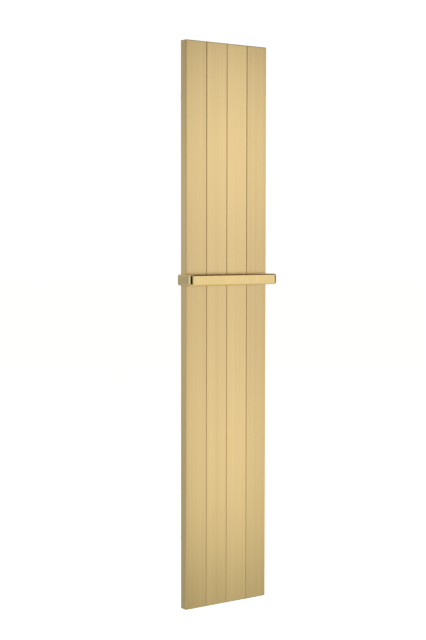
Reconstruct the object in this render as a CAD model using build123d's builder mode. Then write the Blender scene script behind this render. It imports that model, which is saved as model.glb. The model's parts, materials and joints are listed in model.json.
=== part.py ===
from build123d import *
import os

os.makedirs("parts", exist_ok=True)

# A wall-hung electric towel warmer: a tall flat panel of vertical extruded sections, with a
# U-shaped towel bar round it, hooked on four wall brackets.
#
# Frame, in millimetres: X runs along the wall, +Z is up, and the wall plane is Y = 0 with the
# panel on its -Y side. The origin is the centre of the four slotted wall holes, which is also
# the middle of the panel's height. "Depth" below is the distance from the wall, so Y = -depth.
# Plane.XZ.offset(depth) is the upright plane at that depth, and extruding from it goes forward.

# ---- driving dimensions -------------------------------------------------------------------
panel_height = 1800.0
section_count = 4
section_pitch = 80.0
section_gap = 0.4  # slit at the bottom of each V groove
section_edge_r = 2.5  # front edges, two of which make a groove
panel_depth = 28.0
front_depth = 60.0  # panel front plane
rear_depth = front_depth - panel_depth
front_wall = 2.0
side_wall = 1.8
lip_wall = 1.6
lip_reach = 9.0
cap_thick = 2.0
cover_thick = 1.0

element_dia = 6.5
element_leg = 16.0  # half the spacing of a hairpin's legs
element_axis_depth = 54.0
element_bottom = -800.0
element_bend = 840.0
rib_depth = 50.75  # rear face of the screw rib
strap_heights = (-720.0, -360.0, 0.0, 360.0, 720.0)

bar_half_width = 172.5
bar_front = 105.5  # depth of the bar's front face
bar_back = 29.8  # depth of the legs' ends
bar_thick = 10.0
bar_height = 35.0
bar_mid = 150.5  # height of the bar's middle
bar_corner_r = 12.0
bar_rim_r = 4.6  # long edges, nearly a full round
boss_depth = 50.0
boss_spigot = 6.5

bracket_x = 80.0
bracket_z = 700.0
bracket_half = 15.0
bracket_plate = 3.0
slot_width = 6.5
slot_length = 12.0
locating_hole_r = 2.75
locating_drop = 35.0

rail_half = 150.0
rail_thick = 1.6

lift_travel = 14.0
rocker_tilt = 8.0  # each side of neutral
button_travel = 1.0

# ---- derived ------------------------------------------------------------------------------
half_height = panel_height / 2
section_end = half_height - cap_thick
section_half = (section_pitch - section_gap) / 2
section_centres = [(i - (section_count - 1) / 2) * section_pitch for i in range(section_count)]
panel_half = section_centres[-1] + section_half
cover_rear = rear_depth - cover_thick
lip_x = 33.4  # screw line on a lip, from the section's centre
strap_screw_r = 1.5

cover_points = [(s * (section_centres[-1] + lip_x), z) for s in (-1, 1) for z in (-860, -520, -170, 170, 520, 860)]
cover_points += [(-6.6, z) for z in (-350, 350, 860)]
upper_rail_z = bracket_z
lower_rail_z = -bracket_z
rail_columns = (-86.6, -73.4, -6.6, 6.6, 73.4, 86.6)
rail_points = [(x, z) for z in (upper_rail_z - 5, 0.0, lower_rail_z - 5) for x in rail_columns]

live_z, live_depth = -836.0, 46.0
neutral_z, neutral_depth = -848.0, 40.0
wire_r = 1.3
entry_x, entry_z, entry_r = 40.0, -842.0, 11.5
earth_z = -800.0
cutout_z = -760.0

box_x0, box_x1, box_z0, box_z1 = -22.0, 112.0, -872.0, -776.0
box_near, box_far = 7.0, 29.0  # depths of the housing's wall side and of its open side
box_wall = 2.0
box_cx, box_cz = (box_x0 + box_x1) / 2, (box_z0 + box_z1) / 2
box_w, box_h = box_x1 - box_x0, box_z1 - box_z0
boss_points = [(x, z) for x in (box_x0 + 6, box_x1 - 6) for z in (box_z0 + 6, box_z1 - 6)]
board_x0, board_x1, board_z0, board_z1 = -11.0, 101.0, -852.0, -784.0
board_rear, board_front = 15.4, 17.0
post_points = [(x, z) for x in (-5.0, 95.0) for z in (-844.0, -790.0)]

rocker_x, rocker_depth, rocker_pivot_z = 60.0, 19.0, -870.8
button_x, button_depth = 10.0, 17.0
lens_x, lens_depth = 26.0, 19.0
gland_x, gland_depth = 90.0, 19.0


def finish(part, name):
    part.label = name
    export_step(part, f"parts/{name}.step")


# ---- front sections: open-backed extrusions with saddles for the element's legs ------------
for number, xc in enumerate(section_centres, start=1):
    with BuildPart() as front_section:
        with BuildSketch(Plane.XY.offset(-section_end)):
            with Locations((xc, -(front_depth + rear_depth) / 2)):
                Rectangle(2 * section_half, panel_depth)
        extrude(amount=2 * section_end)
        fillet(front_section.edges().filter_by(Axis.Z).group_by(Axis.Y)[0], section_edge_r)
        # hollow, and the open back between its lips
        with BuildSketch(Plane.XY.offset(-section_end)):
            with Locations((xc, -(front_depth - front_wall + rear_depth + lip_wall) / 2)):
                Rectangle(2 * (section_half - side_wall), panel_depth - front_wall - lip_wall)
            with Locations((xc, -(rear_depth + lip_wall / 2))):
                Rectangle(2 * (section_half - side_wall - lip_reach), lip_wall + 0.001)
        extrude(amount=2 * section_end, mode=Mode.SUBTRACT)
        # saddles and the screw rib on the back of the front wall
        with BuildSketch(Plane.XY.offset(-section_end)):
            with Locations((xc - element_leg, -(front_depth - front_wall - 2)), (xc + element_leg, -(front_depth - front_wall - 2))):
                Rectangle(12, 4)
            with Locations((xc, -(front_depth - front_wall + rib_depth) / 2)):
                Rectangle(8, front_depth - front_wall - rib_depth)
            with Locations((xc - element_leg, -element_axis_depth), (xc + element_leg, -element_axis_depth)):
                Circle(element_dia / 2 + 0.05, mode=Mode.SUBTRACT)
        extrude(amount=2 * section_end)
        # window milled through saddles and rib for the hairpin's bend
        with BuildSketch(Plane.XY.offset(element_bend - 8)):
            with Locations((xc, -(front_depth - front_wall + 48) / 2)):
                Rectangle(44.4, front_depth - front_wall - 48)
        extrude(amount=32, mode=Mode.SUBTRACT)
        # pilot holes for strap, earth and cut-out screws in the rib
        with BuildSketch(Plane.XZ.offset(rib_depth - 1)):
            with Locations(*[(xc, z) for z in strap_heights + ((earth_z,) if number == 3 else ())]):
                Circle(strap_screw_r + 0.05)
        extrude(amount=7, mode=Mode.SUBTRACT)
        # pilot holes for the end cap screws
        for z0 in (-section_end, section_end - 12):
            with BuildSketch(Plane.XY.offset(z0)):
                with Locations((xc, -54.4)):
                    Circle(1.55)
            extrude(amount=12, mode=Mode.SUBTRACT)
        # pilot holes in the lips for cover and rail screws
        lip_points = [(x, z) for x, z in cover_points + rail_points if abs(x - xc) < section_half]
        with BuildSketch(Plane.XZ.offset(rear_depth - 1)):
            with Locations(*lip_points):
                Circle(1.55)
        extrude(amount=lip_wall + 1.5, mode=Mode.SUBTRACT)
        # wiring windows through the inner side walls
        for side in (-1, 1):
            if (number, side) not in ((1, -1), (section_count, 1)):
                x_wall = xc + side * (section_half - side_wall / 2)
                with BuildSketch(Plane.YZ.offset(x_wall - 2)):
                    with Locations((-43, -842)):
                        RectangleRounded(14, 32, 3)
                extrude(amount=4, mode=Mode.SUBTRACT)
        # screw hole for the towel bar's boss through the outer side wall
        if number in (1, section_count):
            side = -1 if number == 1 else 1
            with BuildSketch(Plane.YZ.offset(side * (panel_half - 1) - 2)):
                with Locations((-boss_depth, bar_mid)):
                    Circle(2.1)
            extrude(amount=4, mode=Mode.SUBTRACT)
    finish(front_section.part, f"front_section_{number}")

# ---- end caps -----------------------------------------------------------------------------
for name, side in (("top_end_cap", 1), ("bottom_end_cap", -1)):
    outer = side * half_height
    inner = side * section_end
    low = min(outer, inner)
    with BuildPart() as end_cap:
        with BuildSketch(Plane.XY.offset(low)):
            with Locations((0, -(front_depth + cover_rear) / 2)):
                Rectangle(2 * panel_half, front_depth - cover_rear)
        extrude(amount=cap_thick)
        fillet(end_cap.edges().filter_by(Axis.Z).group_by(Axis.Y)[0], section_edge_r)
        rim = end_cap.faces().sort_by(Axis.Z)[-1 if side > 0 else 0].edges()
        fillet(rim, 0.8)
        # lugs that centre the cap in each section
        with BuildSketch(Plane.XY.offset(inner if side < 0 else inner - 8)):
            with Locations(*[(xc, -39) for xc in section_centres]):
                RectangleRounded(50, 10, 2)
        extrude(amount=8)
        # counterbored screw holes
        with BuildSketch(Plane.XY.offset(low - 1)):
            with Locations(*[(xc, -54.4) for xc in section_centres]):
                Circle(1.7)
        extrude(amount=cap_thick + 2, mode=Mode.SUBTRACT)
        with BuildSketch(Plane.XY.offset(outer if side < 0 else outer - 1.3)):
            with Locations(*[(xc, -54.4) for xc in section_centres]):
                Circle(3.0)
        extrude(amount=1.3, mode=Mode.SUBTRACT)
    finish(end_cap.part, name)

with BuildPart() as cap_screws:
    for side in (-1, 1):
        head = half_height - 1.3
        with BuildSketch(Plane.XY.offset(head if side > 0 else -head - 1.2)):
            with Locations(*[(xc, -54.4) for xc in section_centres]):
                Circle(2.8)
        extrude(amount=1.2)
        with BuildSketch(Plane.XY.offset(head - 11 if side > 0 else -head)):
            with Locations(*[(xc, -54.4) for xc in section_centres]):
                Circle(1.5)
        extrude(amount=11)
        with BuildSketch(Plane.XY.offset(head + 0.5 if side > 0 else -head - 1.2)):
            with Locations(*[(xc, -54.4) for xc in section_centres]):
                RegularPolygon(1.2, 6)
        extrude(amount=0.7, mode=Mode.SUBTRACT)
finish(cap_screws.part, "cap_screws")

# ---- heating elements: hairpins of sheathed tube -------------------------------------------
for number, xc in enumerate(section_centres, start=1):
    with BuildPart() as heating_element:
        with BuildLine():
            up = Line((xc - element_leg, -element_axis_depth, element_bottom), (xc - element_leg, -element_axis_depth, element_bend))
            bend = ThreePointArc(
                up @ 1,
                (xc, -element_axis_depth, element_bend + element_leg),
                (xc + element_leg, -element_axis_depth, element_bend),
            )
            Line(bend @ 1, (xc + element_leg, -element_axis_depth, element_bottom))
        with BuildSketch(Plane.XY.offset(element_bottom)):
            with Locations((xc - element_leg, -element_axis_depth)):
                Circle(element_dia / 2)
        sweep()
    finish(heating_element.part, f"heating_element_{number}")

leg_points = [(xc + s * element_leg, -element_axis_depth) for xc in section_centres for s in (-1, 1)]
with BuildPart() as terminal_insulators:
    with BuildSketch(Plane.XY.offset(element_bottom - 14)):
        with Locations(*leg_points):
            Circle(3.1)
        with Locations(*leg_points):
            Circle(1.3, mode=Mode.SUBTRACT)
    extrude(amount=14)
finish(terminal_insulators.part, "terminal_insulators")

with BuildPart() as terminal_pins:
    with BuildSketch(Plane.XY.offset(element_bottom - 24)):
        with Locations(*leg_points):
            Circle(1.25)
    extrude(amount=24)
finish(terminal_pins.part, "terminal_pins")

strap_points = [(xc, z) for xc in section_centres for z in strap_heights]
with BuildPart() as element_straps:
    with BuildSketch(Plane.XZ.offset(rib_depth - 1)):
        with Locations(*strap_points):
            RectangleRounded(48, 12, 2)
        with Locations(*strap_points):
            Circle(1.7, mode=Mode.SUBTRACT)
    extrude(amount=1)
finish(element_straps.part, "element_straps")

with BuildPart() as strap_screws:
    with BuildSketch(Plane.XZ.offset(rib_depth - 2.8)):
        with Locations(*strap_points):
            Circle(3.0)
    extrude(amount=1.8)
    with BuildSketch(Plane.XZ.offset(rib_depth - 1)):
        with Locations(*strap_points):
            Circle(strap_screw_r)
    extrude(amount=6)
finish(strap_screws.part, "strap_screws")

with BuildPart() as insulation_strips:
    with BuildSketch(Plane.XY.offset(-745)):
        with Locations(*[(xc, -40) for xc in section_centres]):
            Rectangle(61, 11)
    extrude(amount=745 + 885)
finish(insulation_strips.part, "insulation_strips")

# ---- wiring at the foot of the panel -------------------------------------------------------
for name, side, bus_z, bus_depth, branch_x in (
    ("live_harness", -1, live_z, live_depth, entry_x - 5),
    ("neutral_harness", 1, neutral_z, neutral_depth, entry_x + 5),
):
    first = section_centres[0] + side * element_leg
    last = section_centres[-1] + side * element_leg
    with BuildPart() as harness:
        with BuildSketch(Plane.YZ.offset(first)):
            with Locations((-bus_depth, bus_z)):
                Circle(wire_r)
        extrude(amount=last - first)
        with BuildSketch(Plane.XZ.offset(25)):
            with Locations((branch_x, bus_z)):
                Circle(wire_r)
        extrude(amount=bus_depth - 25)
        for xc in section_centres:
            x = xc + side * element_leg
            with BuildLine():
                FilletPolyline(
                    (x, -element_axis_depth, element_bottom - 24),
                    (x, -element_axis_depth, bus_z),
                    (x, -bus_depth, bus_z),
                    radius=4,
                )
            with BuildSketch(Plane.XY.offset(element_bottom - 24)):
                with Locations((x, -element_axis_depth)):
                    Circle(wire_r)
            sweep()
    finish(harness.part, name)

with BuildPart() as earth_lead:
    with BuildSketch(Plane.XZ.offset(rib_depth - 1)):
        with Locations((entry_x, earth_z)):
            Circle(4.5)
        with Locations((entry_x, earth_z)):
            Circle(1.6, mode=Mode.SUBTRACT)
    extrude(amount=1)
    with BuildLine():
        FilletPolyline(
            (entry_x, -(rib_depth - 1.25), earth_z - 4),
            (entry_x, -(rib_depth - 1.25), entry_z),
            (entry_x, -25, entry_z),
            radius=5,
        )
    with BuildSketch(Plane.XY.offset(earth_z - 4)):
        with Locations((entry_x, -(rib_depth - 1.25))):
            Circle(1.2)
    sweep()
finish(earth_lead.part, "earth_lead")

with BuildPart() as earth_screw:
    with BuildSketch(Plane.XZ.offset(rib_depth - 3)):
        with Locations((entry_x, earth_z)):
            RegularPolygon(3.2, 6)
    extrude(amount=2)
    with BuildSketch(Plane.XZ.offset(rib_depth - 1)):
        with Locations((entry_x, earth_z)):
            Circle(strap_screw_r)
    extrude(amount=6)
finish(earth_screw.part, "earth_screw")

with BuildPart() as thermal_cutout:
    with BuildSketch(Plane.XZ.offset(rib_depth - 6)):
        with Locations((entry_x, cutout_z)):
            Circle(7.5)
    extrude(amount=6)
    with BuildSketch(Plane.XZ.offset(42)):
        with Locations((entry_x + 1, cutout_z - 0.5), (entry_x + 4, cutout_z - 0.5)):
            Rectangle(1.6, 7)
    extrude(amount=rib_depth - 6 - 42)
finish(thermal_cutout.part, "thermal_cutout")

with BuildPart() as cutout_leads:
    for x, z in ((entry_x + 1, -835.0), (entry_x + 4, -836.0)):
        with BuildLine():
            FilletPolyline((x, -43, cutout_z - 4), (x, -43, z), (x, -25, z), radius=4)
        with BuildSketch(Plane.XY.offset(cutout_z - 4)):
            with Locations((x, -43)):
                Circle(0.8)
        sweep()
finish(cutout_leads.part, "cutout_leads")

# ---- rear cover with stiffening beads ------------------------------------------------------
with BuildPart() as rear_cover:
    with BuildSketch(Plane.XZ.offset(cover_rear)):
        RectangleRounded(2 * 156.5, 2 * (section_end - 0.5), 3)
        with Locations(*(cover_points + rail_points)):
            Circle(1.7, mode=Mode.SUBTRACT)
        with Locations((entry_x, entry_z)):
            Circle(entry_r, mode=Mode.SUBTRACT)
    extrude(amount=cover_thick)
    # beads stand 1.2 mm proud towards the wall, between the rails
    for z in (-340.0, 380.0):
        with BuildSketch(Plane.XZ.offset(cover_rear)):
            with Locations(*[(xc, z) for xc in section_centres]):
                SlotOverall(560, 9, rotation=90)
        extrude(amount=-1.2, taper=30)
finish(rear_cover.part, "rear_cover")

with BuildPart() as cover_screws:
    with BuildSketch(Plane.XZ.offset(cover_rear - 1.8)):
        with Locations(*cover_points):
            Circle(3.0)
    extrude(amount=1.8)
    with BuildSketch(Plane.XZ.offset(cover_rear)):
        with Locations(*cover_points):
            Circle(1.5)
    extrude(amount=6)
    with BuildSketch(Plane.XZ.offset(cover_rear - 1.8)):
        with Locations(*cover_points):
            Rectangle(3.4, 0.8)
            Rectangle(0.8, 3.4)
    extrude(amount=0.9, mode=Mode.SUBTRACT)
finish(cover_screws.part, "cover_screws")

with BuildPart() as lead_grommet:
    with BuildSketch(Plane.XZ.offset(box_far - 1.2)):
        with Locations((entry_x, entry_z)):
            Circle(13.5)
    extrude(amount=1.2)
    with BuildSketch(Plane.XZ.offset(box_far)):
        with Locations((entry_x, entry_z)):
            Circle(entry_r - 0.1)
    extrude(amount=rear_depth - box_far)
    with BuildSketch(Plane.XZ.offset(rear_depth)):
        with Locations((entry_x, entry_z)):
            Circle(13.5)
    extrude(amount=1.2)
    with BuildSketch(Plane.XZ.offset(box_far - 2)):
        with Locations((entry_x, entry_z)):
            Circle(9.7)
    extrude(amount=8, mode=Mode.SUBTRACT)
finish(lead_grommet.part, "lead_grommet")

# ---- hanger rails: Z sections whose lips drop behind the bracket hooks ----------------------
for name, z_ref, play in (("upper_hanger_rail", upper_rail_z, 0.3), ("lower_hanger_rail", lower_rail_z, 1.3)):
    flange = z_ref + 31 + play  # underside of the flange, over the bracket's sleeve
    with BuildPart() as hanger_rail:
        with BuildSketch(Plane.YZ.offset(-rail_half)):
            with BuildLine():
                Polyline(
                    (-cover_rear, z_ref - 14),
                    (-cover_rear, flange + rail_thick),
                    (-17, flange + rail_thick),
                    (-17, flange - 12),
                    (-17 - rail_thick, flange - 12),
                    (-17 - rail_thick, flange),
                    (-cover_rear + rail_thick, flange),
                    (-cover_rear + rail_thick, z_ref - 14),
                    close=True,
                )
            make_face()
        extrude(amount=2 * rail_half)
        fillet(hanger_rail.edges().filter_by(Axis.X).filter_by_position(Axis.Z, flange + rail_thick - 0.01, flange + rail_thick + 0.01), 1.2)
        with BuildSketch(Plane.XZ.offset(cover_rear - rail_thick - 1)):
            with Locations(*[(x, z_ref - 5) for x in rail_columns]):
                Circle(1.7)
        extrude(amount=rail_thick + 2, mode=Mode.SUBTRACT)
    finish(hanger_rail.part, name)

with BuildPart() as centre_tie_bar:
    with BuildSketch(Plane.XZ.offset(cover_rear - rail_thick)):
        RectangleRounded(2 * rail_half, 30, 4)
        with Locations(*[(x, 0) for x in rail_columns]):
            Circle(1.7, mode=Mode.SUBTRACT)
    extrude(amount=rail_thick)
finish(centre_tie_bar.part, "centre_tie_bar")

with BuildPart() as rail_screws:
    with BuildSketch(Plane.XZ.offset(cover_rear - rail_thick - 2)):
        with Locations(*rail_points):
            Circle(3.2)
    extrude(amount=2)
    with BuildSketch(Plane.XZ.offset(cover_rear - rail_thick)):
        with Locations(*rail_points):
            Circle(1.5)
    extrude(amount=7)
    with BuildSketch(Plane.XZ.offset(cover_rear - rail_thick - 2)):
        with Locations(*rail_points):
            Rectangle(3.6, 0.9)
            Rectangle(0.9, 3.6)
    extrude(amount=1, mode=Mode.SUBTRACT)
finish(rail_screws.part, "rail_screws")

# ---- wall brackets: folded steel with an upturned hook --------------------------------------
bracket_places = [
    ("upper_left", -bracket_x, bracket_z),
    ("upper_right", bracket_x, bracket_z),
    ("lower_left", -bracket_x, -bracket_z),
    ("lower_right", bracket_x, -bracket_z),
]
for place, xb, zb in bracket_places:
    with BuildPart() as wall_bracket:
        # plate, shelf and hook in one folded strip
        with BuildSketch(Plane.YZ.offset(xb - bracket_half)):
            with BuildLine():
                Polyline(
                    (0, zb - 47),
                    (0, zb + 18),
                    (-24, zb + 18),
                    (-24, zb + 30),
                    (-27, zb + 30),
                    (-27, zb + 15),
                    (-bracket_plate, zb + 15),
                    (-bracket_plate, zb - 47),
                    close=True,
                )
            make_face()
        extrude(amount=2 * bracket_half)
        fillet(wall_bracket.edges().filter_by(Axis.X).filter_by_position(Axis.Z, zb + 14.99, zb + 15.01).sort_by(Axis.Y)[0], 3)
        fillet(wall_bracket.edges().filter_by(Axis.X).filter_by_position(Axis.Z, zb + 17.99, zb + 18.01).sort_by(Axis.Y)[-1], 3)
        fillet(wall_bracket.edges().filter_by(Axis.Y).filter_by_position(Axis.Z, zb - 47.01, zb - 46.99), 5)
        # cheeks under the shelf
        for x0 in (xb - bracket_half, xb + bracket_half - 2.5):
            with BuildSketch(Plane.YZ.offset(x0)):
                with BuildLine():
                    Polyline((-2, zb - 22), (-2, zb + 15.5), (-23, zb + 15.5), (-23, zb + 11), (-5, zb - 22), close=True)
                make_face()
            extrude(amount=2.5)
        # slotted hole and round locating hole
        with BuildSketch(Plane.XZ.offset(-1)):
            with Locations((xb, zb)):
                SlotOverall(slot_length, slot_width)
            with Locations((xb, zb - locating_drop)):
                Circle(locating_hole_r)
        extrude(amount=bracket_plate + 2, mode=Mode.SUBTRACT)
    finish(wall_bracket.part, f"wall_bracket_{place}")

with BuildPart() as bracket_sleeves:
    for place, xb, zb in bracket_places:
        with BuildSketch(Plane.YZ.offset(xb - bracket_half)):
            with BuildLine():
                Polyline(
                    (-23, zb + 20),
                    (-23, zb + 31),
                    (-28, zb + 31),
                    (-28, zb + 20),
                    (-27, zb + 20),
                    (-27, zb + 30),
                    (-24, zb + 30),
                    (-24, zb + 20),
                    close=True,
                )
            make_face()
        extrude(amount=2 * bracket_half)
finish(bracket_sleeves.part, "bracket_sleeves")

# ---- towel bar and its concealed fixings ----------------------------------------------------
bar_low = bar_mid - bar_height / 2
inner_half = bar_half_width - bar_thick
with BuildPart() as towel_bar:
    with BuildSketch(Plane.XY.offset(bar_low)) as bar_plan:
        with Locations((0, -(bar_front + bar_back) / 2)):
            Rectangle(2 * bar_half_width, bar_front - bar_back)
        fillet(bar_plan.vertices().group_by(Axis.Y)[0], bar_corner_r)
        with Locations((0, -(bar_front - bar_thick + bar_back - 1) / 2)):
            Rectangle(2 * inner_half, bar_front - bar_thick - bar_back + 1, mode=Mode.SUBTRACT)
        inner_corners = bar_plan.vertices().filter_by_position(Axis.Y, -(bar_front - bar_thick) - 0.01, -(bar_front - bar_thick) + 0.01)
        fillet(inner_corners, bar_corner_r - bar_thick)
    extrude(amount=bar_height)
    fillet(towel_bar.edges().filter_by(GeomType.LINE).filter_by(Axis.Z).group_by(Axis.Y)[-1], bar_rim_r + 0.2)
    rims = towel_bar.faces().sort_by(Axis.Z)[0].edges() + towel_bar.faces().sort_by(Axis.Z)[-1].edges()
    fillet(rims, bar_rim_r)
    for side in (-1, 1):
        # blind socket for the boss's spigot, from the leg's inner face
        with BuildSketch(Plane.YZ.offset(side * inner_half)):
            with Locations((-boss_depth, bar_mid)):
                Circle(5.6)
        extrude(amount=side * (boss_spigot + 0.4), mode=Mode.SUBTRACT)
        # grub screw hole from below
        with BuildSketch(Plane.XY.offset(bar_low - 1)):
            with Locations((side * (inner_half + 3.6), -boss_depth)):
                Circle(2.05)
        extrude(amount=bar_height / 2, mode=Mode.SUBTRACT)
finish(towel_bar.part, "towel_bar")

with BuildPart() as bar_bosses:
    for side in (-1, 1):
        with BuildSketch(Plane.YZ.offset(side * panel_half)):
            with Locations((-boss_depth, bar_mid)):
                Circle(7)
        extrude(amount=side * (inner_half - panel_half))
        with BuildSketch(Plane.YZ.offset(side * inner_half)):
            with Locations((-boss_depth, bar_mid)):
                Circle(5.5)
        extrude(amount=side * boss_spigot)
        with BuildSketch(Plane.YZ.offset(side * (panel_half - 1))):
            with Locations((-boss_depth, bar_mid)):
                Circle(2.1)
        extrude(amount=side * 20, mode=Mode.SUBTRACT)
        with BuildSketch(Plane.YZ.offset(side * (inner_half + boss_spigot))):
            with Locations((-boss_depth, bar_mid)):
                Circle(3.6)
        extrude(amount=-side * 4, mode=Mode.SUBTRACT)
finish(bar_bosses.part, "bar_bosses")

with BuildPart() as bar_boss_screws:
    for side in (-1, 1):
        seat = inner_half + boss_spigot - 4
        with BuildSketch(Plane.YZ.offset(side * seat)):
            with Locations((-boss_depth, bar_mid)):
                Circle(3.5)
                RegularPolygon(1.5, 6, mode=Mode.SUBTRACT)
        extrude(amount=side * 3.8)
        with BuildSketch(Plane.YZ.offset(side * seat)):
            with Locations((-boss_depth, bar_mid)):
                Circle(2)
        extrude(amount=-side * (seat - panel_half + 7.8))
finish(bar_boss_screws.part, "bar_boss_screws")

with BuildPart() as bar_fixing_nuts:
    for side in (-1, 1):
        with BuildSketch(Plane.YZ.offset(side * (panel_half - side_wall))):
            with Locations((-boss_depth, bar_mid)):
                RegularPolygon(3.5, 6, major_radius=False)
                Circle(2.05, mode=Mode.SUBTRACT)
        extrude(amount=-side * 3.2)
finish(bar_fixing_nuts.part, "bar_fixing_nuts")

with BuildPart() as bar_grub_screws:
    for side in (-1, 1):
        with BuildSketch(Plane.XY.offset(bar_low + 1.5)):
            with Locations((side * (inner_half + 3.6), -boss_depth)):
                Circle(2)
        extrude(amount=bar_height / 2 - 5.6 - 1.5)
        with BuildSketch(Plane.XY.offset(bar_low + 1.5)):
            with Locations((side * (inner_half + 3.6), -boss_depth)):
                RegularPolygon(1.1, 6)
        extrude(amount=2.5, mode=Mode.SUBTRACT)
finish(bar_grub_screws.part, "bar_grub_screws")

# ---- receiver: base plate and housing -------------------------------------------------------
with BuildPart() as receiver_base:
    with BuildSketch(Plane.XZ.offset(box_far)):
        with Locations((box_cx, box_cz)):
            RectangleRounded(box_w, box_h, 6)
        with Locations((entry_x, entry_z)):
            Circle(entry_r, mode=Mode.SUBTRACT)
        with Locations(*boss_points):
            Circle(1.55, mode=Mode.SUBTRACT)
    extrude(amount=cover_rear - box_far)
finish(receiver_base.part, "receiver_base")

with BuildPart() as receiver_housing:
    with BuildSketch(Plane.XZ.offset(box_near)):
        with Locations((box_cx, box_cz)):
            RectangleRounded(box_w, box_h, 6)
    extrude(amount=box_far - box_near)
    fillet(receiver_housing.faces().sort_by(Axis.Y)[-1].edges(), 1.5)
    with BuildSketch(Plane.XZ.offset(box_near + box_wall)):
        with Locations((box_cx, box_cz)):
            RectangleRounded(box_w - 2 * box_wall, box_h - 2 * box_wall, 4)
    extrude(amount=box_far - box_near - box_wall, mode=Mode.SUBTRACT)
    # corner bosses and board posts
    with BuildSketch(Plane.XZ.offset(box_near + box_wall)):
        with Locations(*boss_points):
            Circle(3.5)
    extrude(amount=box_far - box_near - box_wall)
    with BuildSketch(Plane.XZ.offset(box_near + box_wall)):
        with Locations(*post_points):
            Circle(3)
    extrude(amount=board_rear - box_near - box_wall)
    with BuildSketch(Plane.XZ.offset(box_near + box_wall + 1)):
        with Locations(*post_points):
            Circle(1.15)
    extrude(amount=10, mode=Mode.SUBTRACT)
    with BuildSketch(Plane.XZ.offset(box_near - 1)):
        with Locations(*boss_points):
            Circle(1.6)
    extrude(amount=box_far - box_near + 2, mode=Mode.SUBTRACT)
    with BuildSketch(Plane.XZ.offset(box_near)):
        with Locations(*boss_points):
            Circle(3.0)
    extrude(amount=2.2, mode=Mode.SUBTRACT)
    # openings in the lower wall
    with BuildSketch(Plane.XY.offset(box_z0 - 1)):
        with Locations((rocker_x, -rocker_depth)):
            Rectangle(21.4, 14.6)
        with Locations((button_x, -button_depth)):
            Circle(3.8)
        with Locations((lens_x, -lens_depth)):
            Circle(1.55)
        with Locations((gland_x, -gland_depth)):
            Circle(8.1)
    extrude(amount=box_wall + 1.5, mode=Mode.SUBTRACT)
finish(receiver_housing.part, "receiver_housing")

with BuildPart() as receiver_screws:
    with BuildSketch(Plane.XZ.offset(box_near)):
        with Locations(*boss_points):
            Circle(2.8)
    extrude(amount=2.2)
    with BuildSketch(Plane.XZ.offset(box_near + 2.2)):
        with Locations(*boss_points):
            Circle(1.5)
    extrude(amount=21.5)
    with BuildSketch(Plane.XZ.offset(box_near)):
        with Locations(*boss_points):
            Rectangle(3.2, 0.8)
            Rectangle(0.8, 3.2)
    extrude(amount=1.1, mode=Mode.SUBTRACT)
finish(receiver_screws.part, "receiver_screws")

# ---- receiver: board and what it carries ----------------------------------------------------
with BuildPart() as receiver_board:
    with BuildSketch(Plane.XZ.offset(board_rear)):
        with Locations(((board_x0 + board_x1) / 2, (board_z0 + board_z1) / 2)):
            Rectangle(board_x1 - board_x0, board_z1 - board_z0)
        with Locations(*post_points):
            Circle(1.4, mode=Mode.SUBTRACT)
    extrude(amount=board_front - board_rear)
finish(receiver_board.part, "receiver_board")

with BuildPart() as board_screws:
    with BuildSketch(Plane.XZ.offset(board_front)):
        with Locations(*post_points):
            Circle(2.4)
    extrude(amount=1.6)
    with BuildSketch(Plane.XZ.offset(box_near + box_wall + 1.5)):
        with Locations(*post_points):
            Circle(1.1)
    extrude(amount=board_front - box_near - box_wall - 1.5)
finish(board_screws.part, "board_screws")

with BuildPart() as terminal_block:
    with BuildSketch(Plane.XZ.offset(board_front)):
        with Locations((entry_x, entry_z)):
            Rectangle(22, 18)
    extrude(amount=25 - board_front)
    with BuildSketch(Plane.XY.offset(entry_z + 9 - 3)):
        with Locations((entry_x - 7, -21), (entry_x, -21), (entry_x + 7, -21)):
            Circle(1.6)
    extrude(amount=3, mode=Mode.SUBTRACT)
finish(terminal_block.part, "terminal_block")

with BuildPart() as relay:
    with BuildSketch(Plane.XZ.offset(board_front)):
        with Locations((3.5, -818.5)):
            Rectangle(19, 15)
    extrude(amount=11)
    chamfer(relay.faces().sort_by(Axis.Y)[0].edges(), 0.6)
finish(relay.part, "relay")

with BuildPart() as power_module:
    with BuildSketch(Plane.XZ.offset(board_front)):
        with Locations((71, -813)):
            RectangleRounded(30, 26, 1.5)
    extrude(amount=10.5)
    chamfer(power_module.faces().sort_by(Axis.Y)[0].edges(), 0.8)
finish(power_module.part, "power_module")

with BuildPart() as capacitor:
    with BuildSketch(Plane.XZ.offset(board_front)):
        with Locations((26, -800)):
            Circle(5)
    extrude(amount=11)
    fillet(capacitor.faces().sort_by(Axis.Y)[0].edges(), 0.6)
finish(capacitor.part, "capacitor")

with BuildPart() as antenna_wire:
    with BuildLine():
        FilletPolyline((-8, -board_rear, -788), (-8, -11.5, -788), (-8, -11.5, -781), (84, -11.5, -781), radius=1.8)
    with BuildSketch(Plane.XZ.offset(board_rear)):
        with Locations((-8, -788)):
            Circle(0.6)
    sweep()
finish(antenna_wire.part, "antenna_wire")

with BuildPart() as push_switch:
    with BuildSketch(Plane.XY.offset(board_z0 - 3)):
        with Locations((button_x, -button_depth)):
            Rectangle(6, 6)
    extrude(amount=3)
    with BuildSketch(Plane.XY.offset(board_z0 - 3.6)):
        with Locations((button_x, -button_depth)):
            Circle(1.3)
    extrude(amount=0.6)
finish(push_switch.part, "push_switch")

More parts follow.
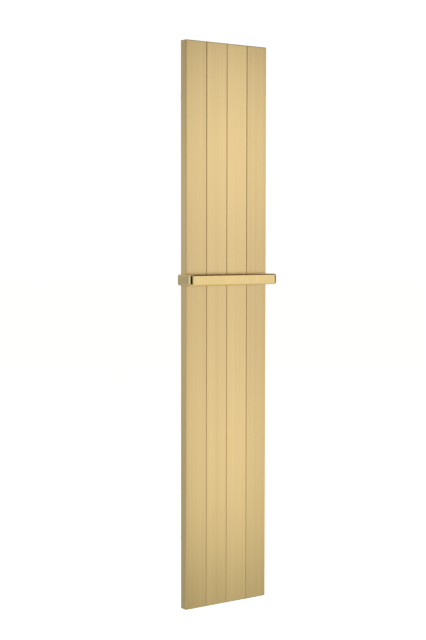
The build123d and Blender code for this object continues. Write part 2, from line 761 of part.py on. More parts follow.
with BuildPart() as switch_leads:
    with BuildLine():
        FilletPolyline((rocker_x - 5, -22, -848), (rocker_x - 5, -22, -839), (entry_x + 11, -22, -839), radius=2.5)
    with BuildSketch(Plane.XY.offset(-848)):
        with Locations((rocker_x - 5, -22)):
            Circle(0.9)
    sweep()
    with BuildSketch(Plane.XY.offset(-848)):
        with Locations((rocker_x + 5, -22)):
            Circle(0.9)
    extrude(amount=22)
finish(switch_leads.part, "switch_leads")

with BuildPart() as status_lens:
    with BuildSketch(Plane.XY.offset(box_z0 - 0.8)):
        with Locations((lens_x, -lens_depth)):
            Circle(1.5)
    extrude(amount=14)
    with BuildSketch(Plane.XY.offset(box_z0 + box_wall)):
        with Locations((lens_x, -lens_depth)):
            Circle(2.6)
    extrude(amount=1.2)
    fillet(status_lens.faces().sort_by(Axis.Z)[0].edges(), 0.6)
finish(status_lens.part, "status_lens")

# ---- power rocker switch --------------------------------------------------------------------
with BuildPart() as rocker_switch_body:
    with BuildSketch(Plane.XY.offset(box_z0)):
        with Locations((rocker_x, -rocker_depth)):
            Rectangle(21.2, 14.4)
    extrude(amount=17)
    with BuildSketch(Plane.XY.offset(box_z0 - 1.8)):
        with Locations((rocker_x, -rocker_depth)):
            RectangleRounded(24, 17, 1.5)
    extrude(amount=1.8)
    with BuildSketch(Plane.XY.offset(box_z0 - 1.8)):
        with Locations((rocker_x, -rocker_depth)):
            Rectangle(18.9, 11.8)
    extrude(amount=9, mode=Mode.SUBTRACT)
    # bearings for the key's pivot pins
    with BuildSketch(Plane.XZ.offset(rocker_depth - 6.8)):
        with Locations((rocker_x, rocker_pivot_z)):
            Circle(1.05)
    extrude(amount=13.6, mode=Mode.SUBTRACT)
    # spade terminals
    with BuildSketch(Plane.XY.offset(box_z0 + 17)):
        with Locations((rocker_x - 5, -22), (rocker_x + 5, -22)):
            Rectangle(4.8, 0.8)
    extrude(amount=7)
finish(rocker_switch_body.part, "rocker_switch_body")

# The key is drawn about its pivot in the neutral position and then tilted to "off".
with BuildPart() as rocker_neutral:
    with BuildSketch(Plane.XZ.offset(-5.5)):
        with BuildLine():
            Polyline((-8.6, 1.5), (-8.6, -4.2), (0, -3.0), (8.6, -4.2), (8.6, 1.5), (3, 4.5), (-3, 4.5), close=True)
        make_face()
    extrude(amount=11)
    with BuildSketch(Plane.XZ.offset(-6.6)):
        Circle(1.0)
    extrude(amount=13.2)
rocker_key = Pos(rocker_x, -rocker_depth, rocker_pivot_z) * Rot(0, -rocker_tilt, 0) * rocker_neutral.part
finish(rocker_key, "rocker_key")

# ---- pairing button -------------------------------------------------------------------------
with BuildPart() as pairing_button:
    with BuildSketch(Plane.XY.offset(box_z0 - 1.6)):
        with Locations((button_x, -button_depth)):
            Circle(3.5)
    extrude(amount=box_wall + 1.6 + 0.4)
    with BuildSketch(Plane.XY.offset(box_z0 + box_wall + 0.3)):
        with Locations((button_x, -button_depth)):
            Circle(4.8)
    extrude(amount=1)
    with BuildSketch(Plane.XY.offset(box_z0 + box_wall + 1.3)):
        with Locations((button_x, -button_depth)):
            Circle(1.5)
    extrude(amount=(board_z0 - 3.6 - 0.2 - button_travel) - (box_z0 + box_wall + 1.3))
    fillet(pairing_button.faces().sort_by(Axis.Z)[0].edges(), 0.6)
finish(pairing_button.part, "pairing_button")

# ---- cable gland ----------------------------------------------------------------------------
with BuildPart() as cable_gland:
    with BuildSketch(Plane.XY.offset(box_z0)):
        with Locations((gland_x, -gland_depth)):
            Circle(8.0)
    extrude(amount=10)
    with BuildSketch(Plane.XY.offset(box_z0 - 5)):
        with Locations((gland_x, -gland_depth)):
            RegularPolygon(9.5, 6, major_radius=False)
    extrude(amount=5)
    with BuildSketch(Plane.XY.offset(box_z0 - 13)):
        with Locations((gland_x, -gland_depth)):
            Circle(8.2)
    extrude(amount=8)
    with BuildSketch(Plane.XY.offset(box_z0 - 14)):
        with Locations((gland_x, -gland_depth)):
            Circle(5.5)
    extrude(amount=26, mode=Mode.SUBTRACT)
    with BuildSketch(Plane.XY.offset(box_z0 - 14)):
        with Locations((gland_x, -gland_depth)):
            Circle(7.0)
    extrude(amount=10, mode=Mode.SUBTRACT)
finish(cable_gland.part, "cable_gland")

with BuildPart() as gland_lock_nut:
    with BuildSketch(Plane.XY.offset(box_z0 + box_wall)):
        with Locations((gland_x, -gland_depth)):
            RegularPolygon(9.5, 6, major_radius=False)
            Circle(8.05, mode=Mode.SUBTRACT)
    extrude(amount=4)
finish(gland_lock_nut.part, "gland_lock_nut")

with BuildPart() as gland_seal:
    with BuildSketch(Plane.XY.offset(box_z0 - 13)):
        with Locations((gland_x, -gland_depth)):
            Circle(6.9)
            Circle(4.2, mode=Mode.SUBTRACT)
    extrude(amount=8)
finish(gland_seal.part, "gland_seal")

with BuildPart() as gland_dome_nut:
    with BuildSketch(Plane.XY.offset(box_z0 - 17)):
        with Locations((gland_x, -gland_depth)):
            Circle(9.6)
    extrude(amount=11.8)
    fillet(gland_dome_nut.faces().sort_by(Axis.Z)[0].edges(), 3)
    with BuildSketch(Plane.XY.offset(box_z0 - 13)):
        with Locations((gland_x, -gland_depth)):
            Circle(8.25)
    extrude(amount=9, mode=Mode.SUBTRACT)
    with BuildSketch(Plane.XY.offset(box_z0 - 18)):
        with Locations((gland_x, -gland_depth)):
            Circle(4.8)
    extrude(amount=8, mode=Mode.SUBTRACT)
finish(gland_dome_nut.part, "gland_dome_nut")
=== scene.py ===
import json
import math

import bmesh
import bpy
from mathutils import Matrix, Vector

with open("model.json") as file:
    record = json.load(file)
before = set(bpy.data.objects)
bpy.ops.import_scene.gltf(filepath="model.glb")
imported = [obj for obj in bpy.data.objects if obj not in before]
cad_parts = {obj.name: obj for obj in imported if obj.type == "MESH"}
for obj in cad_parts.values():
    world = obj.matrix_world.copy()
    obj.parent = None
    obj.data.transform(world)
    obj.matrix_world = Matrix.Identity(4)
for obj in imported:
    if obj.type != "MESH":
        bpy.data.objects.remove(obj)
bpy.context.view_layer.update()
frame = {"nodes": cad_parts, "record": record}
nodes = frame["nodes"]

# ---- camera: the photograph's viewing angle, in the row frame --------------------------------
yaw, pitch, roll = 0.6323725, 0.0568530, 0.0010913
forward = Vector((math.sin(yaw) * math.cos(pitch), math.cos(yaw) * math.cos(pitch), -math.sin(pitch)))
level_right = Vector((math.cos(yaw), -math.sin(yaw), 0))
level_up = level_right.cross(forward)
right = level_right * math.cos(roll) + level_up * math.sin(roll)
up = level_up * math.cos(roll) - level_right * math.sin(roll)
camera_data = bpy.data.cameras.new("camera")
camera_data.lens = 78.70
camera_data.sensor_width = 36
camera_data.clip_start, camera_data.clip_end = 0.05, 200
camera = bpy.data.objects.new("camera", camera_data)
camera.matrix_world = Matrix.Translation((-2.688779, -3.654912, 0.275151)) @ Matrix((right, up, -forward)).transposed().to_4x4()
bpy.context.scene.collection.objects.link(camera)
bpy.context.scene.camera = camera
bpy.context.scene.view_settings.view_transform = "Standard"


# ---- node graph helper ------------------------------------------------------------------------
class Graph:
    def __init__(self, tree):
        self.tree = tree
        tree.nodes.clear()

    def put(self, socket, value):
        if isinstance(value, bpy.types.NodeSocket):
            self.tree.links.new(value, socket)
        elif isinstance(value, tuple) and len(value) == 3 and socket.type == "RGBA":
            socket.default_value = (*value, 1)
        else:
            socket.default_value = value

    def node(self, kind, inputs=None, **settings):
        n = self.tree.nodes.new(kind)
        for k, v in settings.items():
            setattr(n, k, v)
        for k, v in (inputs or {}).items():
            self.put(n.inputs[k], v)
        return n

    def math(self, operation, a, b=0.0, clamp=False):
        return self.node("ShaderNodeMath", {0: a, 1: b}, operation=operation, use_clamp=clamp).outputs[0]

    def vector(self, operation, a, b=(0, 0, 0)):
        n = self.node("ShaderNodeVectorMath", {0: a, 1: b}, operation=operation)
        return n.outputs["Value" if operation in ("DOT_PRODUCT", "LENGTH") else "Vector"]

    def span(self, x, lo, hi, out_lo=0.0, out_hi=1.0, smooth=True):
        kind = "SMOOTHSTEP" if smooth else "LINEAR"
        return self.node("ShaderNodeMapRange", {0: x, 1: lo, 2: hi, 3: out_lo, 4: out_hi}, interpolation_type=kind).outputs[0]

    def window(self, x, lo, hi, soft):
        return self.math("MULTIPLY", self.span(x, lo - soft, lo + soft), self.span(x, hi - soft, hi + soft, 1.0, 0.0))

    def place(self):
        return self.node("ShaderNodeTexCoord").outputs["Object"]

    def scaled(self, vector, scale, offset=(0, 0, 0)):
        return self.node("ShaderNodeMapping", {"Vector": vector, "Scale": scale, "Location": offset}).outputs[0]

    def noise(self, vector, scale=1.0, detail=2.0, roughness=0.5, distortion=0.0):
        inputs = {"Vector": vector, "Scale": scale, "Detail": detail, "Roughness": roughness, "Distortion": distortion}
        return self.node("ShaderNodeTexNoise", inputs).outputs[0]

    def mix(self, factor, a, b, blend="MIX"):
        return self.node("ShaderNodeMix", {0: factor, 6: a, 7: b}, data_type="RGBA", blend_type=blend).outputs[2]

    def bump(self, height, distance, strength=1.0, normal=None):
        inputs = {"Height": height, "Distance": distance, "Strength": strength}
        if normal is not None:
            inputs["Normal"] = normal
        return self.node("ShaderNodeBump", inputs).outputs[0]

    def edges(self, radius, reach=0.10):
        """1 on convex and concave edges, 0 on flat faces, and the rounded normal."""
        rounded = self.node("ShaderNodeBevel", {"Radius": radius}, samples=4).outputs[0]
        flat = self.node("ShaderNodeNewGeometry").outputs["Normal"]
        return self.span(self.vector("DOT_PRODUCT", rounded, flat), 1.0 - reach, 0.995, 1.0, 0.0), rounded


def start(name):
    material = bpy.data.materials.new(name)
    material.use_nodes = True
    g = Graph(material.node_tree)
    shader = g.node("ShaderNodeBsdfPrincipled")
    output = g.node("ShaderNodeOutputMaterial")
    g.tree.links.new(shader.outputs[0], output.inputs[0])
    return material, g, shader


def weighted(g, *terms):
    """Sum of weight * (noise - 0.5)."""
    total = 0.0
    for weight, value in terms:
        term = g.math("MULTIPLY", g.math("SUBTRACT", value, 0.5), weight)
        total = g.math("ADD", total, term)
    return total


# ---- metals -----------------------------------------------------------------------------------
def brushed_brass(name, offset, tone=(0.80, 0.60, 0.30), rough=0.36, aniso=0.9, grain=(1, 1, 0), shading=(0.10, 0.17, 0.5)):
    """Satin anodised brass tone with an upright grain: long faint streaks, finer scratches across, soft clouding."""
    material, g, shader = start(name)
    at = g.scaled(g.place(), (1, 1, 1), offset)
    across = (150, 150, 1.3) if grain[2] == 0 else (2, 150, 150)
    finer = (900, 900, 5.0) if grain[2] == 0 else (8, 900, 900)
    finest = (3800, 3800, 16.0) if grain[2] == 0 else (30, 3800, 3800)
    streak = g.noise(g.scaled(at, across), detail=3, roughness=0.6)
    drawn = g.noise(g.scaled(at, (125, 125, 0.3)), detail=2, roughness=0.6)
    scratch = g.noise(g.scaled(at, finer), detail=2)
    hair = g.noise(g.scaled(at, finest), detail=1)
    cloud = g.noise(g.scaled(at, (6, 6, 1.6)), detail=2, distortion=0.4)
    edge, rounded = g.edges(0.0012)
    # painted shade: the brass colour is a touch darker towards the panel's outer edges, where the light falls off
    from_middle = g.math("ABSOLUTE", g.node("ShaderNodeSeparateXYZ", {0: g.place()}).outputs[0])
    painted_edge_shade = g.span(from_middle, shading[0], shading[1], 0.0, shading[2])
    variation = g.math("ADD", weighted(g, (0.5, streak), (1.25, drawn), (0.35, scratch), (0.5, cloud)), 0.62, True)
    variation = g.math("SUBTRACT", variation, painted_edge_shade, True)
    darker = tuple(c * k for c, k in zip(tone, (0.90, 0.895, 0.87)))
    paler = tuple(min(1.0, c * k) for c, k in zip(tone, (1.05, 1.05, 1.07)))
    colour = g.mix(variation, darker, paler)
    # a rub of brighter metal along the edges, broken up by the grain
    rub = g.math("MULTIPLY", edge, g.span(scratch, 0.35, 0.65, 0.25, 0.9))
    g.put(shader.inputs["Base Color"], g.mix(rub, colour, tuple(min(1.0, c * k) for c, k in zip(tone, (1.10, 1.12, 1.2)))))
    shader.inputs["Metallic"].default_value = 1.0
    g.put(shader.inputs["Roughness"], g.math("ADD", weighted(g, (0.10, streak), (0.08, scratch), (0.05, cloud)), rough))
    shader.inputs["Anisotropic"].default_value = aniso
    tangent = g.node("ShaderNodeTangent", direction_type="RADIAL", axis="Z").outputs[0]
    g.put(shader.inputs["Tangent"], tangent)
    # sheet metal is never quite flat: a long, shallow wave under the fine grain
    wave = g.noise(g.scaled(at, (7, 7, 2.4)), detail=1)
    height = g.math("ADD", g.math("MULTIPLY", scratch, 0.7), g.math("MULTIPLY", hair, 0.3))
    g.put(shader.inputs["Normal"], g.bump(height, 0.000012, 0.5, g.bump(wave, 0.0004, 1.0, rounded)))
    return material


def polished_brass(name):
    """Polished and lacquered brass: a near mirror with faint buffing lines, handling haze and slight waviness."""
    material, g, shader = start(name)
    at = g.place()
    haze = g.noise(g.scaled(at, (26, 26, 26)), detail=4, roughness=0.6, distortion=0.5)
    buff = g.noise(g.scaled(at, (7, 260, 2200)), detail=2)
    wave = g.noise(g.scaled(at, (9, 9, 22)), detail=1)
    edge, rounded = g.edges(0.0008)
    colour = g.mix(g.math("ADD", weighted(g, (0.5, haze), (0.3, buff)), 0.5, True), (0.80, 0.595, 0.265), (0.86, 0.655, 0.315))
    g.put(shader.inputs["Base Color"], g.mix(g.math("MULTIPLY", edge, 0.5), colour, (0.90, 0.72, 0.40)))
    shader.inputs["Metallic"].default_value = 1.0
    g.put(shader.inputs["Roughness"], g.span(haze, 0.3, 0.75, 0.06, 0.10))
    shader.inputs["Coat Weight"].default_value = 0.05
    shader.inputs["Coat Roughness"].default_value = 0.05
    height = g.math("ADD", g.math("MULTIPLY", wave, 1.0), g.math("MULTIPLY", buff, 0.012))
    g.put(shader.inputs["Normal"], g.bump(height, 0.00005, 0.3))
    return material


def turned_metal(name, tone, rough, variation=0.12, metallic=1.0, edge_gain=1.2, spot=420, bump=0.00001):
    """Small turned or pressed metal parts: mottled plating, fine scratches, rubbed edges."""
    material, g, shader = start(name)
    at = g.place()
    mottle = g.noise(g.scaled(at, (spot, spot, spot)), detail=3, roughness=0.65)
    scratch = g.noise(g.scaled(at, (4200, 700, 4200)), detail=2)
    edge, rounded = g.edges(0.0004)
    low, high = (tuple(min(1.0, c * k) for c in tone) for k in (1 - variation, 1 + variation))
    colour = g.mix(g.math("ADD", weighted(g, (1.1, mottle), (0.4, scratch)), 0.5, True), low, high)
    g.put(shader.inputs["Base Color"], g.mix(g.math("MULTIPLY", edge, 0.6), colour, tuple(min(1.0, c * edge_gain) for c in tone)))
    shader.inputs["Metallic"].default_value = metallic
    g.put(shader.inputs["Roughness"], g.math("ADD", weighted(g, (0.25, mottle), (0.15, scratch)), rough, True))
    g.put(shader.inputs["Normal"], g.bump(g.math("ADD", mottle, scratch), bump, 0.4, rounded))
    return material


def galvanised_sheet(name):
    """Hot-dip zinc: interlocking spangle crystals, each with its own tone and tilt, under a thin dull bloom."""
    material, g, shader = start(name)
    at = g.place()
    wobble = g.node("ShaderNodeTexNoise", {"Vector": at, "Scale": 160.0, "Detail": 2.0}).outputs[1]
    bent = g.vector("ADD", at, g.vector("MULTIPLY", g.vector("SUBTRACT", wobble, (0.5, 0.5, 0.5)), (0.006, 0.006, 0.006)))
    crystal = g.node("ShaderNodeTexVoronoi", {"Vector": bent, "Scale": 52.0, "Randomness": 1.0}, feature="F1")
    shade = g.node("ShaderNodeSeparateColor", {0: crystal.outputs["Color"]}).outputs
    seam = g.node("ShaderNodeTexVoronoi", {"Vector": bent, "Scale": 52.0}, feature="DISTANCE_TO_EDGE").outputs["Distance"]
    needles = g.noise(g.scaled(at, (900, 900, 120)), detail=3, roughness=0.7)
    bloom = g.noise(g.scaled(at, (9, 9, 6)), detail=4, roughness=0.6)
    edge, rounded = g.edges(0.0005)
    tone = g.math("ADD", weighted(g, (0.60, shade[0]), (0.12, needles), (0.25, bloom)), 0.5, True)
    colour = g.mix(tone, (0.50, 0.515, 0.53), (0.68, 0.69, 0.70))
    colour = g.mix(g.span(seam, 0.0, 0.05, 0.12, 0.0), colour, (0.44, 0.45, 0.46))
    g.put(shader.inputs["Base Color"], g.mix(g.math("MULTIPLY", edge, 0.6), colour, (0.78, 0.78, 0.78)))
    shader.inputs["Metallic"].default_value = 0.9
    g.put(shader.inputs["Roughness"], g.math("ADD", weighted(g, (0.10, shade[1]), (0.10, bloom), (0.05, needles)), 0.33))
    height = g.math("ADD", g.math("MULTIPLY", needles, 0.3), g.math("MULTIPLY", shade[2], 0.1))
    g.put(shader.inputs["Normal"], g.bump(height, 0.00001, 0.5, rounded))
    return material


def heated_sheath(name):
    """Stainless heater sheath: drawn lines along the tube and straw-to-blue heat tint in patches."""
    material, g, shader = start(name)
    at = g.place()
    lines = g.noise(g.scaled(at, (2600, 2600, 12)), detail=2)
    heat = g.noise(g.scaled(at, (14, 14, 5)), detail=3, distortion=0.6)
    tint = g.mix(g.span(heat, 0.35, 0.55), (0.44, 0.42, 0.40), (0.46, 0.37, 0.25))
    tint = g.mix(g.span(heat, 0.58, 0.75, 0.0, 0.8), tint, (0.26, 0.27, 0.36))
    g.put(shader.inputs["Base Color"], g.mix(g.span(lines, 0.3, 0.7, 0.0, 0.35), tint, (0.55, 0.53, 0.50)))
    shader.inputs["Metallic"].default_value = 1.0
    g.put(shader.inputs["Roughness"], g.span(lines, 0.3, 0.7, 0.28, 0.42))
    g.put(shader.inputs["Normal"], g.bump(lines, 0.00002, 0.5))
    return material


# ---- paint, plastic, rubber and the rest --------------------------------------------------------
def powder_coat(name, tone):
    """Epoxy powder: orange-peel dimples, slight tone drift, thinner and chalkier at folded edges."""
    material, g, shader = start(name)
    at = g.place()
    peel = g.noise(g.scaled(at, (650, 650, 650)), detail=2, roughness=0.45)
    speck = g.noise(g.scaled(at, (2600, 2600, 2600)), detail=1)
    drift = g.noise(g.scaled(at, (18, 18, 18)), detail=3)
    edge, rounded = g.edges(0.0009)
    colour = g.mix(g.math("ADD", weighted(g, (0.7, drift), (0.3, peel)), 0.5, True), tuple(c * 0.93 for c in tone), tuple(min(1.0, c * 1.04) for c in tone))
    g.put(shader.inputs["Base Color"], g.mix(g.math("MULTIPLY", edge, g.span(speck, 0.4, 0.6, 0.15, 0.5)), colour, tuple(c * 0.80 for c in tone)))
    g.put(shader.inputs["Roughness"], g.span(peel, 0.25, 0.75, 0.34, 0.50))
    shader.inputs["Coat Weight"].default_value = 0.12
    shader.inputs["Coat Roughness"].default_value = 0.3
    g.put(shader.inputs["Normal"], g.bump(g.math("ADD", peel, g.math("MULTIPLY", speck, 0.2)), 0.00012, 0.6, rounded))
    return material


def moulded(name, tone, rough, texture=1800, depth=0.00003, sheen_edge=1.35, variation=0.10, coat=0.0, translucent=0.0):
    """Injection-moulded plastic: spark-eroded texture, faint flow marks and handling polish on the edges."""
    material, g, shader = start(name)
    at = g.place()
    spark = g.noise(g.scaled(at, (texture, texture, texture)), detail=3, roughness=0.6)
    flow = g.noise(g.scaled(at, (30, 45, 22)), detail=3, distortion=1.2)
    edge, rounded = g.edges(0.0005)
    low, high = (tuple(min(1.0, c * k) for c in tone) for k in (1 - variation, 1 + variation))
    colour = g.mix(g.math("ADD", weighted(g, (0.8, flow), (0.5, spark)), 0.5, True), low, high)
    g.put(shader.inputs["Base Color"], g.mix(g.math("MULTIPLY", edge, 0.5), colour, tuple(min(1.0, c * sheen_edge) for c in tone)))
    polish = g.math("MULTIPLY", edge, -0.12)
    g.put(shader.inputs["Roughness"], g.math("ADD", g.math("ADD", weighted(g, (0.14, spark), (0.12, flow)), rough), polish, True))
    if coat:
        shader.inputs["Coat Weight"].default_value = coat
        shader.inputs["Coat Roughness"].default_value = 0.06
    if translucent:
        shader.inputs["Subsurface Weight"].default_value = translucent
        shader.inputs["Subsurface Radius"].default_value = (0.003, 0.003, 0.0025)
        shader.inputs["Subsurface Scale"].default_value = 1.0
    g.put(shader.inputs["Normal"], g.bump(spark, depth, 0.6, rounded))
    return material


def wool_board(name):
    """Faced mineral-wool board: matted fibres under a thin scrim."""
    material, g, shader = start(name)
    at = g.place()
    fibre = g.noise(g.scaled(at, (420, 420, 160)), detail=6, roughness=0.75, distortion=1.4)
    tuft = g.noise(g.scaled(at, (45, 45, 30)), detail=3)
    scrim = g.node("ShaderNodeTexWave", {"Vector": at, "Scale": 260.0, "Distortion": 1.0, "Detail": 1.0}, wave_type="BANDS", bands_direction="DIAGONAL").outputs[1]
    colour = g.mix(g.math("ADD", weighted(g, (1.0, fibre), (0.7, tuft)), 0.5, True), (0.58, 0.50, 0.32), (0.82, 0.77, 0.58))
    g.put(shader.inputs["Base Color"], g.mix(g.math("MULTIPLY", scrim, 0.25), colour, (0.80, 0.78, 0.70)))
    g.put(shader.inputs["Roughness"], g.span(fibre, 0.3, 0.7, 0.85, 0.98))
    shader.inputs["Sheen Weight"].default_value = 0.3
    g.put(shader.inputs["Normal"], g.bump(g.math("ADD", fibre, g.math("MULTIPLY", scrim, 0.3)), 0.0008, 0.8))
    return material


def circuit_board(name):
    """Solder mask over copper: upright and level tracks read as a slightly raised, paler green."""
    material, g, shader = start(name)
    at = g.place()
    cells = g.node("ShaderNodeTexVoronoi", {"Vector": g.scaled(at, (260, 260, 160)), "Scale": 1.0}, feature="F1", distance="MANHATTAN")
    track = g.span(g.node("ShaderNodeSeparateColor", {0: cells.outputs["Color"]}).outputs[0], 0.48, 0.52)
    weave = g.noise(g.scaled(at, (1800, 1800, 1800)), detail=2)
    edge, rounded = g.edges(0.0003)
    colour = g.mix(track, (0.018, 0.13, 0.05), (0.035, 0.22, 0.085))
    colour = g.mix(g.math("MULTIPLY", weave, 0.2), colour, (0.06, 0.28, 0.12))
    g.put(shader.inputs["Base Color"], g.mix(edge, colour, (0.45, 0.42, 0.22)))
    g.put(shader.inputs["Roughness"], g.span(track, 0.0, 1.0, 0.38, 0.26))
    g.put(shader.inputs["Normal"], g.bump(g.math("ADD", track, g.math("MULTIPLY", weave, 0.15)), 0.00004, 0.7))
    return material


def light_pipe(name):
    """Frosted acrylic light pipe."""
    material, g, shader = start(name)
    at = g.place()
    frost = g.noise(g.scaled(at, (1500, 1500, 1500)), detail=3)
    g.put(shader.inputs["Base Color"], g.mix(frost, (0.78, 0.81, 0.80), (0.90, 0.92, 0.91)))
    g.put(shader.inputs["Roughness"], g.span(frost, 0.3, 0.7, 0.22, 0.40))
    shader.inputs["Transmission Weight"].default_value = 0.6
    shader.inputs["IOR"].default_value = 1.49
    g.put(shader.inputs["Normal"], g.bump(frost, 0.00002, 0.5))
    return material


brass_tone = (0.80, 0.60, 0.30)
slots = {
    "cap_brass": brushed_brass("cap_brass", (3.1, 0.7, 2.3), (0.60, 0.485, 0.285), 0.40, 0.6),
    "bar_brass": polished_brass("bar_brass"),
    "boss_brass": turned_metal("boss_brass", (0.78, 0.585, 0.29), 0.30, 0.06),
    "element_sheath": heated_sheath("element_sheath"),
    "galvanised": galvanised_sheet("galvanised"),
    "bracket_paint": powder_coat("bracket_paint", (0.74, 0.74, 0.72)),
    "zinc": turned_metal("zinc", (0.68, 0.68, 0.65), 0.28, 0.10),
    "black_steel": turned_metal("black_steel", (0.055, 0.055, 0.058), 0.42, 0.2, 0.85, 2.6),
    "spring_steel": turned_metal("spring_steel", (0.55, 0.55, 0.54), 0.34, 0.12),
    "tinned_pins": turned_metal("tinned_pins", (0.70, 0.69, 0.66), 0.30, 0.08),
    "ceramic_white": moulded("ceramic_white", (0.86, 0.84, 0.78), 0.24, 500, 0.00002, 1.05, 0.05, coat=0.6),
    "insulation_wool": wool_board("insulation_wool"),
    "wire_brown": moulded("wire_brown", (0.24, 0.11, 0.055), 0.42, 900, 0.00002),
    "wire_blue": moulded("wire_blue", (0.05, 0.18, 0.48), 0.42, 900, 0.00002),
    "wire_green": moulded("wire_green", (0.20, 0.50, 0.08), 0.42, 900, 0.00002),
    "wire_white": moulded("wire_white", (0.80, 0.80, 0.77), 0.42, 900, 0.00002, 1.05, 0.05),
    "cutout_black": moulded("cutout_black", (0.045, 0.042, 0.040), 0.45, 1400, 0.00002),
    "rubber_black": moulded("rubber_black", (0.028, 0.028, 0.028), 0.66, 1100, 0.00004, 1.5, 0.2),
    "sleeve_nylon": moulded("sleeve_nylon", (0.84, 0.84, 0.80), 0.40, 1200, 0.00002, 1.05, 0.04, translucent=0.15),
    "housing_plastic": moulded("housing_plastic", (0.035, 0.035, 0.037), 0.52, 1500, 0.00005, 1.8, 0.15),
    "board_green": circuit_board("board_green"),
    "terminal_grey": moulded("terminal_grey", (0.42, 0.44, 0.45), 0.45, 1600, 0.00003),
    "relay_black": moulded("relay_black", (0.035, 0.035, 0.040), 0.38, 1800, 0.00002, 1.6),
    "capacitor_sleeve": moulded("capacitor_sleeve", (0.045, 0.07, 0.19), 0.26, 700, 0.00002, 1.3, 0.08, coat=0.4),
    "antenna_tin": turned_metal("antenna_tin", (0.70, 0.69, 0.66), 0.32, 0.08),
    "lens_clear": light_pipe("lens_clear"),
    "rocker_body": moulded("rocker_body", (0.045, 0.045, 0.045), 0.50, 1600, 0.00003, 1.6),
    "rocker_gloss": moulded("rocker_gloss", (0.030, 0.030, 0.034), 0.20, 600, 0.00001, 1.5, 0.1, coat=0.5),
    "button_grey": moulded("button_grey", (0.38, 0.39, 0.40), 0.42, 1500, 0.00003, 1.2),
    "gland_plastic": moulded("gland_plastic", (0.055, 0.055, 0.060), 0.46, 1300, 0.00003, 1.6),
}
for part in frame["record"]["subparts"]:
    node, slot = part["node"], part["material_slot"]
    if slot == "panel_brass":
        number = int(node[-1])
        # each section is its own length of extrusion, so its grain doesn't run on into the next;
        # its brass colour is scaled, darkest on the two outer sections, a painted shade for the light falling off
        # towards the panel's sides
        shade = {1: 0.94, 2: 0.985, 3: 1.0, 4: 0.94}[number]
        tone = tuple(c * shade for c in brass_tone)
        material = brushed_brass(f"panel_brass_{number}", (1.7 * number, 0.9 * number, 0.63 * number), tone)
    else:
        material = slots[slot]
    mesh = nodes[node].data
    mesh.materials.clear()
    mesh.materials.append(material)

# ---- floor ------------------------------------------------------------------------------------
floor_mesh = bpy.data.meshes.new("floor")
floor_mesh.from_pydata([(-40, -40, -1.2), (40, -40, -1.2), (40, 40, -1.2), (-40, 40, -1.2)], [], [(0, 1, 2, 3)])
floor = bpy.data.objects.new("floor", floor_mesh)
bpy.context.scene.collection.objects.link(floor)
floor_material, g, shader = start("floor")
shader.inputs["Base Color"].default_value = (0.9, 0.9, 0.9, 1)
shader.inputs["Roughness"].default_value = 1.0
shader.inputs["Specular IOR Level"].default_value = 0.0
shader.inputs["Emission Color"].default_value = (1, 1, 1, 1)
shader.inputs["Emission Strength"].default_value = 0.6
floor_mesh.materials.append(floor_material)
floor.visible_glossy = False

# ---- studio: a white surround with softer and darker zones, seen only in reflections --------------
world = bpy.data.worlds.new("studio")
world.use_nodes = True
bpy.context.scene.world = world
g = Graph(world.node_tree)
direction = g.node("ShaderNodeSeparateXYZ", {0: g.node("ShaderNodeTexCoord").outputs["Generated"]}).outputs
turn = g.math("MULTIPLY", g.math("ARCTAN2", direction[0], g.math("MULTIPLY", direction[1], -1.0)), 180 / math.pi)
rise = g.math("MULTIPLY", g.math("ARCSINE", direction[2]), 180 / math.pi)

# a tall bright panel of light to the front right: its brightness by height, in degrees above the horizon
curve = g.node("ShaderNodeFloatCurve")
points = [(-90, 0.7), (-50, 0.85), (-25, 0.85), (-19.5, 0.22), (-16.2, 0.12), (-13.8, 0.58), (-11, 1.38), (-8, 1.31), (-5, 1.17), (-2, 1.20), (1, 1.32), (4, 1.56), (6.5, 1.45), (9.5, 0.54), (12, 0.07), (30, 0.05), (54, 0.10), (70, 0.7), (90, 0.9)]
profile = curve.mapping.curves[0]
curve.mapping.use_clip = False
for i, (x, y) in enumerate(points):
    px, py = (x + 90) / 180, y
    if i < 2:
        profile.points[i].location = (px, py)
    else:
        profile.points.new(px, py)
for p in profile.points:
    p.handle_type = "AUTO_CLAMPED"
curve.mapping.update()
g.put(curve.inputs["Value"], g.span(rise, -90.0, 90.0, 0.0, 1.0, smooth=False))
front = curve.outputs[0]

front_zone = g.window(turn, -8.0, 95.0, 22.0)
back_left = g.window(turn, -185.0, -98.0, 12.0)
# the room behind the camera: dim at eye level, darker above it
upper_left = g.math("MULTIPLY", g.window(turn, -84.0, -16.0, 6.0), g.window(rise, 0.5, 62.0, 5.0))
camera_side = g.math("MULTIPLY", g.window(turn, -82.0, -24.0, 10.0), g.window(rise, -13.0, 14.0, 4.0))
surround = g.span(rise, -40.0, 30.0, 0.80, 0.92)
light = g.math("ADD", g.math("MULTIPLY", front, front_zone), g.math("MULTIPLY", surround, g.math("SUBTRACT", 1.0, front_zone)))
light = g.math("MULTIPLY", light, g.span(back_left, 0.0, 1.0, 1.0, 0.66))
light = g.math("MULTIPLY", light, g.math("ADD", 1.0, g.math("MULTIPLY", g.math("MULTIPLY", back_left, g.window(rise, -12.8, 6.8, 1.2)), 0.20)))
light = g.math("MULTIPLY", light, g.math("ADD", 1.0, g.math("MULTIPLY", g.math("MULTIPLY", back_left, g.window(rise, -4.5, 4.5, 2.5)), 0.46)))
light = g.math("MULTIPLY", light, g.span(camera_side, 0.0, 1.0, 1.0, 0.74))
light = g.math("MULTIPLY", light, g.span(upper_left, 0.0, 1.0, 1.0, 0.22))
# behind the object: a soft light that falls off downwards and to one side
back_right = g.window(turn, 98.0, 178.0, 12.0)
falling = g.math("MULTIPLY", g.span(rise, -26.0, -5.0, 0.70, 1.14), g.span(turn, 108.0, 162.0, 1.16, 0.74))
light = g.math("MULTIPLY", light, g.math("ADD", 1.0, g.math("MULTIPLY", back_right, g.math("SUBTRACT", falling, 1.0))))

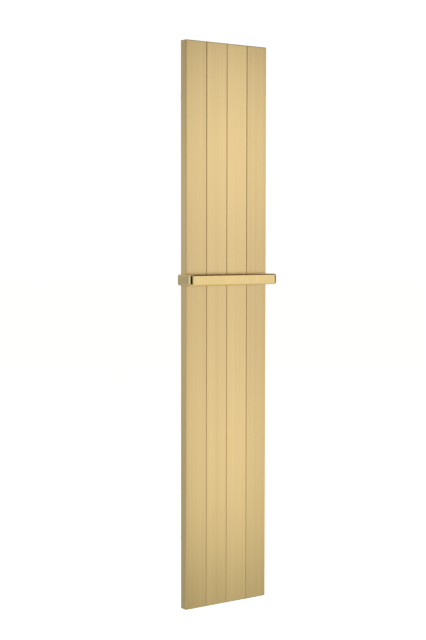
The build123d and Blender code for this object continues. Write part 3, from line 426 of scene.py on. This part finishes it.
# a narrow band at the bar's height, which only the polished bar shows sharply
band = g.window(rise, -3.0, -0.4, 0.7)


def band_zone(light, lo, hi, soft, value):
    zone = g.math("MULTIPLY", band, g.window(turn, lo, hi, soft))
    return g.node("ShaderNodeMix", {0: zone, 2: light, 3: value}, data_type="FLOAT").outputs[0]


light = band_zone(light, 14.0, 56.0, 8.0, 0.95)
light = band_zone(light, -8.0, 24.0, 7.0, 0.74)
light = band_zone(light, -86.0, -11.0, 4.0, 0.005)
light = band_zone(light, -138.0, -90.0, 3.0, 0.95)
light = band_zone(light, -185.0, -140.0, 3.0, 0.46)
light = band_zone(light, 47.0, 148.0, 5.0, 0.10)
light = band_zone(light, 86.0, 94.0, 2.5, 0.95)

tint = g.mix(g.span(rise, 3.0, 7.5), (1.0, 0.995, 0.985), (0.985, 1.015, 1.0))
tint = g.mix(g.math("MULTIPLY", front_zone, g.span(rise, -13.6, -9.5, 1.0, 0.0)), tint, (0.99, 1.025, 0.82))
tint = g.mix(back_left, tint, (0.93, 1.0, 1.08))
tint = g.mix(g.window(rise, 11.0, 60.0, 3.0), tint, (1.0, 0.86, 0.62))
studio = g.node("ShaderNodeBackground", {"Color": tint, "Strength": light}).outputs[0]
backdrop = g.node("ShaderNodeBackground", {"Color": (1.0, 1.0, 1.0), "Strength": 1.05}).outputs[0]
seen = g.node("ShaderNodeLightPath").outputs["Is Camera Ray"]
mixed = g.node("ShaderNodeMixShader", {0: seen, 1: studio, 2: backdrop}).outputs[0]
out = g.node("ShaderNodeOutputWorld")
g.tree.links.new(mixed, out.inputs[0])


def soft_light(name, place, aim, size, power):
    data = bpy.data.lights.new(name, "AREA")
    data.shape, data.size, data.size_y, data.energy = "RECTANGLE", size[0], size[1], power
    lamp = bpy.data.objects.new(name, data)
    lamp.matrix_world = Matrix.Translation(place) @ (Vector(aim) - Vector(place)).to_track_quat("-Z", "Y").to_matrix().to_4x4()
    bpy.context.scene.collection.objects.link(lamp)
    lamp.visible_camera = False
    lamp.visible_glossy = False
    return lamp


soft_light("key", (2.6, -3.2, 2.8), (0, 0, 0), (1.6, 1.6), 40)
soft_light("rear_key", (-2.8, 3.0, 2.4), (0, 0, 0), (1.6, 1.6), 40)
